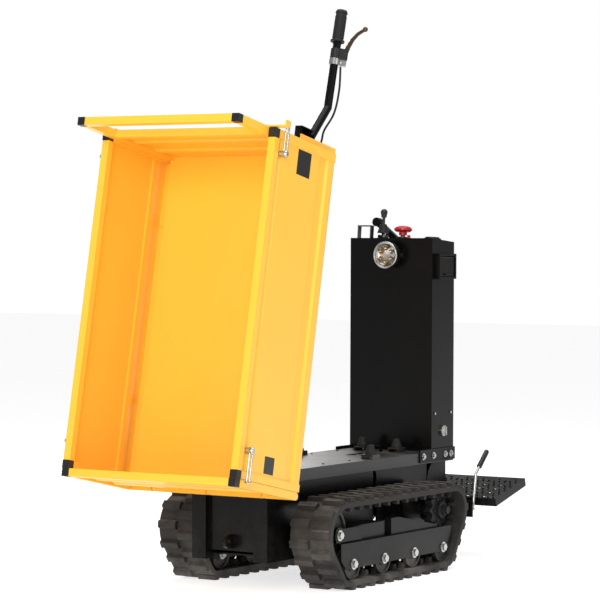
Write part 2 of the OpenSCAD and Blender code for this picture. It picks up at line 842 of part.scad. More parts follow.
module headboard_shape() {
  color([1, 0.72, 0.2])
    tipped() {
      for (s = [-1, 1])
        block([-bed_l, s * head_in, -41], [-bed_l + tube, s * head_hw, head_h - 3]);
      block([-bed_l, -head_in, head_h - tube - 3], [-bed_l + tube, head_in, head_h - 3]);
      block([-bed_l, -head_in, gate_h - tube], [-bed_l + tube, head_in, gate_h]);
      block([-bed_l, -head_in, rail_z + rail_h], [-bed_l + tube, head_in, floor_z]);
      // sheet with two pressed ribs
      block([-bed_l + 10, -head_in, floor_z], [-bed_l + 13, head_in, gate_h - tube]);
      for (z = [150, 290])
        translate([-bed_l + 13, head_in, z])
          rotate([90, 0, 0])
            linear_extrude(head_in * 2)
              polygon([[0, -22], [9, -12], [9, 12], [0, 22]]);
      // catch plates for the rear latches
      for (s = [-1, 1]) {
        block([-bed_l - 6, s * (head_in + 4), latch_w + 18], [-bed_l, s * (gate_hw + 42), latch_w + 44]);
        block([-bed_l - 24, s * (gate_hw + 36), latch_w + 18],
          [-bed_l - 6, s * (gate_hw + 42), latch_w + 44]);
      }
      // gusset plates behind the posts
      for (s = [-1, 1])
        block([-bed_l - 26, s * (head_hw - 5), -41], [-bed_l, s * head_hw, 210]);
    }
}
module handle_tube_shape() {
  a = [-bed_l - 34, 118];
  b = [-bed_l - 171, 24];
  c = [-bed_l - 455, 6];
  color([0.06, 0.06, 0.06])
    tipped() {
      translate([a[0], handle_y, a[1]])
        rotate([0, atan2(b[0] - a[0], b[1] - a[1]), 0])
          cylinder(h = norm(b - a), r = handle_r);
      translate([b[0], handle_y, b[1]]) {
        sphere(r = handle_r + 0.3);
        rotate([0, atan2(c[0] - b[0], c[1] - b[1]), 0])
          cylinder(h = norm(c - b), r = handle_r);
      }
    }
  handle_bracket_shape();
}
module handle_bracket_shape() {
  color([0.07, 0.07, 0.07])
    tipped()
      difference() {
        union() {
          block([-bed_l - 5, head_in + 1, 85], [-bed_l, head_hw - 6, 235]);
          block([-bed_l - 60, handle_y - 22, 96], [-bed_l - 5, handle_y - 17, 200]);
          block([-bed_l - 60, handle_y - 22, 96], [-bed_l - 56, handle_y + 8, 200]);
        }
        translate([-bed_l - 34, handle_y, 118])
          rotate([0, atan2(-137, -94), 0])
            cylinder(h = 300, r = handle_r, center = true);
      }
  color([0.5, 0.5, 0.52])
    tipped() {
      for (z = [150, 182])
        hexhead_y(-bed_l - 34, z, handle_y - 22, -1, 8, 6);
      for (z = [214, 228])
        rod_x(handle_y, z, -bed_l - 10, -bed_l - 5, 5);
    }
}
module on_handle(t) {
  b = [-bed_l - 171, 24];
  c = [-bed_l - 455, 6];
  u = (c - b) / norm(c - b);
  translate([b[0] + u[0] * t, handle_y, b[1] + u[1] * t])
    rotate([0, atan2(u[0], u[1]), 0])
      rotate([0, 0, 180])
        children();
}
module handle_grip_shape() {
  color([0.05, 0.05, 0.05])
    tipped()
      on_handle(262)
        difference() {
          union() {
            cylinder(h = 6, r = 27);
            translate([0, 0, 6])
              cylinder(h = 110, r1 = 21, r2 = 21);
            for (k = [0:9])
              translate([0, 0, 16 + k * 9])
                cylinder(h = 4, r = 22.5);
            translate([0, 0, 116])
              cylinder(h = 10, r1 = 24, r2 = 20);
          }
          translate([0, 0, -1])
            cylinder(h = norm([284, 18]) - 261, r = handle_r);
        }
}
module lever_clamp_shape() {
  color([0.72, 0.73, 0.75])
    tipped()
      on_handle(170)
        rotate([0, 0, lever_swing])
          difference() {
            union() {
              cylinder(h = 24, r = 21);
              translate([8, -9, 0])
                cube([36, 18, 24]);
            }
            translate([0, 0, -1])
              cylinder(h = 40, r = handle_r);
            translate([24, 0, 12])
              rotate([90, 0, 0])
                cylinder(h = 60, r = 4 + running, center = true);
          }
}
module lever_housing_shape() {
  color([0.06, 0.06, 0.06])
    tipped()
      on_handle(194)
        rotate([0, 0, lever_swing])
          difference() {
            union() {
              cylinder(h = 40, r = 20);
              translate([-1, -15, 0])
                cube([46, 7, 42]);
              translate([-1, 8, 0])
                cube([46, 7, 42]);
              translate([14, -15, 0])
                cube([31, 30, 9]);
            }
            translate([0, 0, -1])
              cylinder(h = 50, r = handle_r);
            translate([34, 0, 24])
              rotate([90, 0, 0])
                cylinder(h = 60, r = 4 + running, center = true);
          }
}
module release_lever_shape() {
  color([0.07, 0.07, 0.07])
    tipped()
      on_handle(194)
        rotate([0, 0, lever_swing]) {
          translate([34, 0, 24])
            rotate([90, 0, 0])
              cylinder(h = 32, r = 4, center = true);
          translate([34, 6, 24])
            rotate([90, 0, 0])
              linear_extrude(12)
                union() {
                  circle(r = 10);
                  polygon([[-8, 4], [1, 34], [14, 64], [34, 94], [60, 117], [67, 108], [45, 87], [29, 60],
                    [18, 30], [10, -4]]);
                }
          translate([34 + 66, 0, 24 + 115])
            sphere(r = 10);
        }
}
// a smooth line through the points, and a tube of eight sides swept along it
function bend(p, i, t) =
  let(a = p[max(i - 1, 0)], b = p[i], c = p[i + 1], d = p[min(i + 2, len(p) - 1)])
  0.5 * (2 * b + (c - a) * t + (2 * a - 5 * b + 4 * c - d) * t * t + (3 * b - a - 3 * c + d) * t * t * t);
function smooth(p, n) = concat([for (i = [0:len(p) - 2], k = [0:n - 1]) bend(p, i, k / n)], [p[len(p) - 1]]);
function unit(v) = v / norm(v);
function heading(p, i) = unit(p[min(i + 1, len(p) - 1)] - p[max(i - 1, 0)]);
module swept_tube(p, r) {
  n = len(p);
  rings = [for (i = [0:n - 1])
    let(t = heading(p, i), a = unit(cross(t, [0.36, 0.27, 0.89])), b = cross(a, t))
    for (k = [0:7]) p[i] + r * (cos(k * 45) * a + sin(k * 45) * b)];
  sides = [for (i = [0:n - 2], k = [0:7])
    [i * 8 + k, i * 8 + (k + 1) % 8, (i + 1) * 8 + (k + 1) % 8, (i + 1) * 8 + k]];
  polyhedron(points = rings, faces = concat(sides, [[for (k = [7:-1:0]) k]],
    [[for (k = [0:7]) (n - 1) * 8 + k]]), convexity = 6);
}
module brake_cable_shape() {
  route = [[-bed_l - 337.5, handle_y + 19, -4], [-bed_l - 250, handle_y + 17, -16],
    [-bed_l - 160, handle_y + 7, -14],
    [-bed_l - 84, handle_y - 3, 26], [-bed_l - 48, handle_y - 16, 16], [-bed_l - 30, handle_y - 44, -18],
    [-bed_l - 2, handle_y - 72, -22], [-bed_l + 22, handle_y - 110, -13], [-bed_l + 22, 150, -12],
    [-bed_l + 24, 60, -13], [-bed_l + 52, 26, -14], [-1240, 20.5, -14]];
  color([0.04, 0.04, 0.04])
    tipped()
      swept_tube(smooth(route, 5), 4);
}
module lock_hook_shape() {
  color([0.7, 0.71, 0.73])
    tipped() {
      slab_y(-7, 7)
        difference() {
          union() {
            translate([-1205, 3])
              circle(r = 13);
            polygon([[-1216, 6], [-1194, 6], [-1188, -20], [-1193, -38], [-1207, -36], [-1204, -22]]);
          }
        }
      rod_y(-1205, 3, -18, 18, 6);
    }
}

// ---------- gates ----------
module front_gate_shape() {
  hw = bed_w / 2;
  color([1, 0.72, 0.2])
    tipped() {
      for (s = [-1, 1]) {
        block([-tube, s * (hw - tube), tube / 2], [0, s * hw, gate_h - 3]);
        rod_y(-tube / 2, tube / 2, s * (hw - tube), s * hw, tube / 2);
      }
      block([-tube, -hw + tube, gate_h - tube - 3], [0, hw - tube, gate_h - 3]);
      difference() {
        union() {
          block([-tube, -hw + tube, tube / 2], [0, hw - tube, tube]);
          rod_y(-tube / 2, tube / 2, -hw + tube, hw - tube, tube / 2);
        }
        for (y = hinge_ys)
          block([-tube - 1, y - 7, -1], [1, y + 7, tube + 1]);
      }
      rod_y(hinge_x, hinge_z, -hw + 2, hw - 2, hinge_r);
      difference() {
        block([-18, -hw + tube - 1, tube - 1], [-15, hw - tube + 1, gate_h - tube]);
        for (y = hinge_ys)
          block([-tube - 1, y - 7, 0], [1, y + 7, tube + 1]);
      }
      for (z = [150, 270])
        slab_y(-hw + tube + 20, hw - tube - 20)
          polygon([[-15.5, z - 24], [-6, z - 12], [-6, z + 12], [-15.5, z + 24]]);
      // tongues by the side latches
      for (s = [-1, 1])
        block([-24, s * (hw - 1), latch_w - 14], [-6, s * (gate_hw + 12), latch_w + 14]);
    }
}
module side_gate_left() {
  a = side_front;
  b = side_back;
  h = gate_h - 3;
  block([a - tube, side_in, 0], [a, gate_hw, h]);
  block([b, side_in, 0], [b + tube + 5, gate_hw, h]);
  block([b, side_in, h - tube], [a, gate_hw, h]);
  // pressed side sheet
  translate([b + 20, 0, 0])
    rotate([90, 0, 90])
      linear_extrude(a - b - 40)
        polygon([[side_in, 0], [gate_hw - 4, 0], [gate_hw - 1, 12], [gate_hw - 1, 44], [gate_hw - 10, 56],
          [gate_hw - 10, 96], [gate_hw - 5, 104], [gate_hw - 5, h - 60], [gate_hw - 12, h - 50],
          [gate_hw - 12, h - tube + 1], [gate_hw - 15, h - tube + 1], [gate_hw - 15, h - 51],
          [gate_hw - 8, h - 61], [gate_hw - 8, 105], [gate_hw - 13, 97], [gate_hw - 13, 55],
          [gate_hw - 4, 43], [gate_hw - 4, 14], [gate_hw - 6, 3], [side_in, 3]]);
  for (x = guide_xs)
    block([x - guide_s / 2 - arm_s / 2, 120, rail_z + rail_h + 3 + 0.2],
      [x - guide_s / 2 + arm_s / 2, side_in + 2, rail_z + rail_h + 3 + 0.2 + arm_s]);
}
// plastic cap over a tube's end; a and b are the tube's corners, top its upper end,
// open the side (-X, +X or -Y) where a rail meets the tube
module end_cap(a, b, top, open) {
  w = cap_wall;
  difference() {
    block([a[0] - (open == "-x" ? 0 : w), a[1] - (open == "-y" ? 0 : w), top - cap_len],
      [b[0] + (open == "+x" ? 0 : w), b[1] + w, top]);
    block([a[0], a[1], top - cap_len - 1], [b[0], b[1], top - 3]);
  }
}
module caps_bed_shape() {
  color([0.05, 0.05, 0.05])
    tipped()
      both_sides()
        end_cap([-bed_l, head_in], [-bed_l + tube, head_hw], head_h, "-y");
}
module caps_front_shape() {
  color([0.05, 0.05, 0.05])
    tipped()
      both_sides()
        end_cap([-tube, bed_w / 2 - tube], [0, bed_w / 2], gate_h, "-y");
}
module caps_side_left() {
  end_cap([side_front - tube, side_in], [side_front, gate_hw], gate_h, "-x");
  end_cap([side_back, side_in], [side_back + tube + 5, gate_hw], gate_h, "+x");
}
module caps_side_l_shape() { color([0.05, 0.05, 0.05]) tipped() caps_side_left(); }
module caps_side_r_shape() { color([0.05, 0.05, 0.05]) tipped() mirror([0, 1, 0]) caps_side_left(); }
module side_gate_l_shape() { color([1, 0.73, 0.2]) tipped() side_gate_left(); }
module side_gate_r_shape() { color([1, 0.73, 0.2]) tipped() mirror([0, 1, 0]) side_gate_left(); }
module latch_bolt(x) {
  rod_y(x, latch_w, gate_hw, latch_y + 9, 7);
  rod_y(x, latch_w, gate_hw, latch_y - 0.5, 12);
  translate([x, latch_y + 8.5, latch_w])
    rotate([-90, 0, 0])
      cylinder(h = 6, r1 = 13, r2 = 9);
}
module latch_bolts_l_shape() {
  color([0.7, 0.71, 0.73])
    tipped() {
      latch_bolt(latch_front_x);
      latch_bolt(latch_back_x);
    }
}
module latch_bolts_r_shape() {
  color([0.7, 0.71, 0.73])
    tipped()
      mirror([0, 1, 0]) {
        latch_bolt(latch_front_x);
        latch_bolt(latch_back_x);
      }
}
// wire bail: an eye round the bolt, two bars and a round nose; dir points along X
module bail(x, dir) {
  z = latch_w;
  y = latch_y + 4;
  difference() {
    rod_y(x, z, y - 4, y + 4, 14);
    rod_y(x, z, y - 10, y + 10, 7 + running);
  }
  for (s = [-1, 1])
    rod_x(y, z + s * 9.5, x + dir * 9, x + dir * bail_len, bail_d / 2);
  rod_z(x + dir * bail_len, y, z - 13.5, z + 13.5, bail_d / 2 + 0.4);
}
module bail_lf_shape() { color([0.75, 0.76, 0.78]) tipped() bail(latch_front_x, 1); }
module bail_lb_shape() { color([0.75, 0.76, 0.78]) tipped() bail(latch_back_x, -1); }
module bail_rf_shape() { color([0.75, 0.76, 0.78]) tipped() mirror([0, 1, 0]) bail(latch_front_x, 1); }
module bail_rb_shape() { color([0.75, 0.76, 0.78]) tipped() mirror([0, 1, 0]) bail(latch_back_x, -1); }

// ---------- each node in its place ----------
module home() {
  translate([shift_x, 0, 0])
    children();
}
module chassis_frame() { home() chassis_frame_shape(); }
module deck_plate() { home() deck_plate_shape(); }
module fasteners() { home() fasteners_shape(); }
module buffers() { home() buffers_shape(); }
module wiring() { home() wiring_shape(); }
module column_shell() { home() column_shell_shape(); }
module grab_bracket() { home() grab_bracket_shape(); }
module top_arm() { home() top_arm_shape(); }
module joystick_base() { home() joystick_base_shape(); }
module joystick_cradle() { home() joystick_cradle_shape(); }
module joystick_lever() { home() joystick_lever_shape(); }
module estop_head() { home() estop_head_shape(); }
module red_key() { home() red_key_shape(); }
module lamp() { home() lamp_shape(); }
module lamp_lens() { home() lamp_lens_shape(); }
module port_housing() { home() port_housing_shape(); }
module port_flap() { home() port_flap_shape(); }
module side_latch() { home() side_latch_shape(); }
module platform() { home() platform_shape(); }
module park_lever() { home() park_lever_shape(); }
module park_grip() { home() park_grip_shape(); }
module belt_l() { home() belt_l_shape(); }
module belt_r() { home() belt_r_shape(); }
module rollers_l1() { home() rollers_l1_shape(); }
module rollers_l2() { home() rollers_l2_shape(); }
module rollers_l3() { home() rollers_l3_shape(); }
module rollers_l4() { home() rollers_l4_shape(); }
module rollers_r1() { home() rollers_r1_shape(); }
module rollers_r2() { home() rollers_r2_shape(); }
module rollers_r3() { home() rollers_r3_shape(); }
module rollers_r4() { home() rollers_r4_shape(); }
module idler_l() { home() idler_l_shape(); }
module idler_r_wheel() { home() idler_r_wheel_shape(); }
module sprocket_l() { home() sprocket_l_shape(); }
module sprocket_r_wheel() { home() sprocket_r_wheel_shape(); }
module track_frames() { home() track_frames_shape(); }
module gearmotors() { home() gearmotors_shape(); }
module bed_frame() { home() bed_frame_shape(); }
module headboard() { home() headboard_shape(); }
module handle_tube() { home() handle_tube_shape(); }
module handle_grip() { home() handle_grip_shape(); }
module lever_clamp() { home() lever_clamp_shape(); }
module lever_housing() { home() lever_housing_shape(); }
module release_lever() { home() release_lever_shape(); }
module brake_cable() { home() brake_cable_shape(); }
module lock_hook() { home() lock_hook_shape(); }
module panel_fittings() { home() panel_fittings_shape(); }
module front_gate() { home() front_gate_shape(); }
module caps_bed() { home() caps_bed_shape(); }
module caps_front() { home() caps_front_shape(); }
module caps_side_l() { home() caps_side_l_shape(); }
module caps_side_r() { home() caps_side_r_shape(); }
module side_gate_l() { home() side_gate_l_shape(); }
module side_gate_r() { home() side_gate_r_shape(); }
module latch_bolts_l() { home() latch_bolts_l_shape(); }
module latch_bolts_r() { home() latch_bolts_r_shape(); }
module bail_lf() { home() bail_lf_shape(); }
module bail_lb() { home() bail_lb_shape(); }
module bail_rf() { home() bail_rf_shape(); }
module bail_rb() { home() bail_rb_shape(); }

chassis_frame();
deck_plate();
fasteners();
buffers();
wiring();
column_shell();
grab_bracket();
top_arm();
joystick_base();
joystick_cradle();
joystick_lever();
estop_head();
red_key();
lamp();
lamp_lens();
port_housing();
port_flap();
side_latch();
platform();
park_lever();
park_grip();
belt_l();
belt_r();
rollers_l1();
rollers_l2();
rollers_l3();
rollers_l4();
rollers_r1();
rollers_r2();
rollers_r3();
rollers_r4();
idler_l();
idler_r_wheel();
sprocket_l();
sprocket_r_wheel();
track_frames();
gearmotors();
bed_frame();
headboard();
handle_tube();
handle_grip();
lever_clamp();
lever_housing();
release_lever();
brake_cable();
lock_hook();
front_gate();
panel_fittings();
caps_bed();
caps_front();
caps_side_l();
caps_side_r();
side_gate_l();
side_gate_r();
latch_bolts_l();
latch_bolts_r();
bail_lf();
bail_lb();
bail_rf();
bail_rb();
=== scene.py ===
import json
import math

import bmesh
import bpy
from mathutils import Matrix, Vector


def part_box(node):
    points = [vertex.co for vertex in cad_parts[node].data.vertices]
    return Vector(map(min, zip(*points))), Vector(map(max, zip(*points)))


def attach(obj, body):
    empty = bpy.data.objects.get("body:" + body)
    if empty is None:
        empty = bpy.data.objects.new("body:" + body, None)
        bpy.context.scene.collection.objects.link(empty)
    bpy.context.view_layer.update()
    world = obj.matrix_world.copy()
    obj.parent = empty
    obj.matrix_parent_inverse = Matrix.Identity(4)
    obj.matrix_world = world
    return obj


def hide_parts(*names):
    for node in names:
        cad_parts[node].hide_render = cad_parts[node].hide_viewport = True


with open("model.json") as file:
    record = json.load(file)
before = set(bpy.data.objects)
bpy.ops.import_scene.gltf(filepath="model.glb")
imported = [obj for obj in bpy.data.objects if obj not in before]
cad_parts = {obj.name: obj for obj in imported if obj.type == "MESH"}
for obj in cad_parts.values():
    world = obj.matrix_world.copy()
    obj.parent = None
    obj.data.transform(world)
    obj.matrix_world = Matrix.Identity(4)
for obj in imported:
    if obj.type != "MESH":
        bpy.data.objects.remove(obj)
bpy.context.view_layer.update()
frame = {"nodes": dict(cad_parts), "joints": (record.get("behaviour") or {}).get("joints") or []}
nodes = frame["nodes"]
print("frame loaded", len(nodes), "nodes")

# ---- studio ----

studio = {
    "lens": 162.3,            # mm on a 36 mm sensor
    "eye": (9.1945, 5.7005, 1.3379),
    "yaw": 32.04, "pitch": 1.25, "roll": 0.22,   # degrees
    "floorSize": 60.0,
    "floorColour": (0.6, 0.6, 0.6, 1), "floorGlow": 0.72,
    "skyColour": (1.0, 1.0, 1.0, 1), "skyStrength": 0.36, "backdropStrength": 1.0,
    "lights": {   # name: place, aim, width, height, watts
        "keySoftbox": ((6.9, 2.4, 2.9), (0.1, 0.0, 1.0), 4.2, 3.0, 320),
        "sideSoftbox": ((1.6, 6.8, 3.4), (0.0, 0.2, 0.6), 3.6, 2.6, 45),
        "topSoftbox": ((-0.4, 0.4, 6.0), (0.0, 0.0, 0.5), 5.0, 5.0, 210),
        "rearStrip": ((-4.6, -3.6, 2.6), (-0.5, 0.1, 0.9), 1.0, 2.6, 70),
    },
}


def addCamera(s):
    yaw, pitch, roll = (math.radians(s[k]) for k in ("yaw", "pitch", "roll"))
    ahead = Vector((-math.cos(yaw) * math.cos(pitch), -math.sin(yaw) * math.cos(pitch), -math.sin(pitch)))
    right = ahead.cross(Vector((0, 0, 1))).normalized()
    up = right.cross(ahead)
    turned = math.cos(roll) * right + math.sin(roll) * up
    upright = -math.sin(roll) * right + math.cos(roll) * up
    data = bpy.data.cameras.new("studioCamera")
    data.lens, data.sensor_width = s["lens"], 36.0
    data.clip_start, data.clip_end = 0.1, 100.0
    camera = bpy.data.objects.new("studioCamera", data)
    bpy.context.scene.collection.objects.link(camera)
    rows = Matrix((turned, upright, -ahead)).transposed()
    camera.matrix_world = Matrix.Translation(Vector(s["eye"])) @ rows.to_4x4()
    bpy.context.scene.camera = camera


def addLight(name, place, aim, width, height, watts):
    data = bpy.data.lights.new(name, "AREA")
    data.shape, data.size, data.size_y, data.energy = "RECTANGLE", width, height, watts
    lamp = bpy.data.objects.new(name, data)
    bpy.context.scene.collection.objects.link(lamp)
    lamp.location = place
    lamp.rotation_mode = "QUATERNION"
    lamp.rotation_quaternion = (Vector(aim) - Vector(place)).to_track_quat("-Z", "Y")


def addFloor(s):
    half = s["floorSize"] / 2
    mesh = bpy.data.meshes.new("studioFloor")
    mesh.from_pydata([(-half, -half, 0), (half, -half, 0), (half, half, 0), (-half, half, 0)], [], [(0, 1, 2, 3)])
    floor = bpy.data.objects.new("studioFloor", mesh)
    bpy.context.scene.collection.objects.link(floor)
    paint = bpy.data.materials.new("floorPaint")
    paint.use_nodes = True
    shader = paint.node_tree.nodes["Principled BSDF"]
    shader.inputs["Base Color"].default_value = s["floorColour"]
    shader.inputs["Roughness"].default_value = 0.9
    shader.inputs["Emission Color"].default_value = (1, 1, 1, 1)
    shader.inputs["Emission Strength"].default_value = s["floorGlow"]
    mesh.materials.append(paint)


def setWorld(s):
    world = bpy.data.worlds.new("studioSky")
    world.use_nodes = True
    tree = world.node_tree
    back = tree.nodes["Background"]
    back.inputs["Color"].default_value = s["skyColour"]
    seen = tree.nodes.new("ShaderNodeMapRange")   # the backdrop is paler than the light it gives
    seen.inputs["To Min"].default_value = s["skyStrength"]
    seen.inputs["To Max"].default_value = s["backdropStrength"]
    tree.links.new(tree.nodes.new("ShaderNodeLightPath").outputs["Is Camera Ray"], seen.inputs["Value"])
    tree.links.new(seen.outputs["Result"], back.inputs["Strength"])
    bpy.context.scene.world = world
    bpy.context.scene.view_settings.view_transform = "Standard"


addCamera(studio)
addFloor(studio)
setWorld(studio)
for lightName, facts in studio["lights"].items():
    addLight(lightName, *facts)
print("studio ready")

# ---- shader groups ----


def newGroup(name, ins, outs):
    tree = bpy.data.node_groups.new(name, "ShaderNodeTree")
    for label, kind, value in ins:
        socket = tree.interface.new_socket(name=label, in_out="INPUT", socket_type=kind)
        if value is not None:
            socket.default_value = value
    for label, kind in outs:
        tree.interface.new_socket(name=label, in_out="OUTPUT", socket_type=kind)
    return tree, tree.nodes.new("NodeGroupInput"), tree.nodes.new("NodeGroupOutput")


def mathNode(tree, operation, a, b=None, clamp=False):
    node = tree.nodes.new("ShaderNodeMath")
    node.operation, node.use_clamp = operation, clamp
    for slot, value in enumerate((a, b)):
        if isinstance(value, (int, float)):
            node.inputs[slot].default_value = value
        elif value is not None:
            tree.links.new(value, node.inputs[slot])
    return node.outputs[0]


def noiseNode(tree, place, scale, detail=2.0, rough=0.5):
    node = tree.nodes.new("ShaderNodeTexNoise")
    tree.links.new(place, node.inputs["Vector"])
    node.inputs["Detail"].default_value = detail
    node.inputs["Roughness"].default_value = rough
    if isinstance(scale, (int, float)):
        node.inputs["Scale"].default_value = scale
    else:
        tree.links.new(scale, node.inputs["Scale"])
    return node.outputs["Fac"]


def rampNode(tree, value, low, high):
    node = tree.nodes.new("ShaderNodeMapRange")
    node.interpolation_type = "SMOOTHSTEP"
    for label, source in (("Value", value), ("From Min", low), ("From Max", high)):
        if isinstance(source, (int, float)):
            node.inputs[label].default_value = source
        else:
            tree.links.new(source, node.inputs[label])
    return node.outputs["Result"]


def buildEdgeWear():
    # rounded normal against the flat one finds the folds and edges, then noise breaks the line up
    tree, give, take = newGroup("edgeWear", [("Radius", "NodeSocketFloat", 0.002), ("Amount", "NodeSocketFloat", 0.5),
        ("Break Scale", "NodeSocketFloat", 60.0)], [("Mask", "NodeSocketFloat"), ("Normal", "NodeSocketVector")])
    bevel = tree.nodes.new("ShaderNodeBevel")
    bevel.samples = 4
    tree.links.new(give.outputs["Radius"], bevel.inputs["Radius"])
    flat = tree.nodes.new("ShaderNodeNewGeometry")
    dot = tree.nodes.new("ShaderNodeVectorMath")
    dot.operation = "DOT_PRODUCT"
    tree.links.new(bevel.outputs["Normal"], dot.inputs[0])
    tree.links.new(flat.outputs["Normal"], dot.inputs[1])
    edge = rampNode(tree, mathNode(tree, "SUBTRACT", 1.0, dot.outputs["Value"]), 0.02, 0.22)
    place = tree.nodes.new("ShaderNodeTexCoord").outputs["Object"]
    chips = rampNode(tree, noiseNode(tree, place, give.outputs["Break Scale"], 4.0, 0.65), 0.5, 0.68)
    mask = mathNode(tree, "MULTIPLY", mathNode(tree, "MULTIPLY", edge, chips), give.outputs["Amount"], True)
    tree.links.new(mask, take.inputs["Mask"])
    tree.links.new(bevel.outputs["Normal"], take.inputs["Normal"])
    return tree


def buildCoatGrain():
    # orange peel of a powder coat: fine ripples and slow cloudiness
    tree, give, take = newGroup("coatGrain", [("Scale", "NodeSocketFloat", 400.0)],
        [("Height", "NodeSocketFloat"), ("Cloud", "NodeSocketFloat")])
    place = tree.nodes.new("ShaderNodeTexCoord").outputs["Object"]
    fine = noiseNode(tree, place, give.outputs["Scale"], 2.0, 0.55)
    slow = noiseNode(tree, place, mathNode(tree, "MULTIPLY", give.outputs["Scale"], 0.012), 3.0, 0.6)
    tree.links.new(fine, take.inputs["Height"])
    tree.links.new(slow, take.inputs["Cloud"])
    return tree


def buildDustFall():
    # dust lies on what faces up at rest, thicker low down, broken by noise
    tree, give, take = newGroup("dustFall", [("Amount", "NodeSocketFloat", 0.3), ("Low Dirt", "NodeSocketFloat", 0.0),
        ("Dirt Height", "NodeSocketFloat", 0.35)], [("Mask", "NodeSocketFloat")])
    coord = tree.nodes.new("ShaderNodeTexCoord")
    split = tree.nodes.new("ShaderNodeSeparateXYZ")
    tree.links.new(coord.outputs["Normal"], split.inputs[0])
    upward = rampNode(tree, split.outputs["Z"], 0.55, 0.98)
    patch = rampNode(tree, noiseNode(tree, coord.outputs["Object"], 7.0, 5.0, 0.62), 0.38, 0.72)
    speck = rampNode(tree, noiseNode(tree, coord.outputs["Object"], 190.0, 3.0, 0.7), 0.52, 0.7)
    settled = mathNode(tree, "MULTIPLY", mathNode(tree, "MULTIPLY", upward, mathNode(tree, "ADD",
        mathNode(tree, "MULTIPLY", patch, 0.7), mathNode(tree, "MULTIPLY", speck, 0.3))), give.outputs["Amount"])
    height = tree.nodes.new("ShaderNodeSeparateXYZ")
    tree.links.new(coord.outputs["Object"], height.inputs[0])
    share = mathNode(tree, "DIVIDE", height.outputs["Z"], give.outputs["Dirt Height"])
    low = mathNode(tree, "SUBTRACT", 1.0, share, True)
    mud = mathNode(tree, "MULTIPLY", mathNode(tree, "MULTIPLY", low, patch), give.outputs["Low Dirt"])
    tree.links.new(mathNode(tree, "ADD", settled, mud, True), take.inputs["Mask"])
    return tree


groups = {"edgeWear": buildEdgeWear(), "coatGrain": buildCoatGrain(), "dustFall": buildDustFall()}
print("shader groups built")

# ---- finishes ----

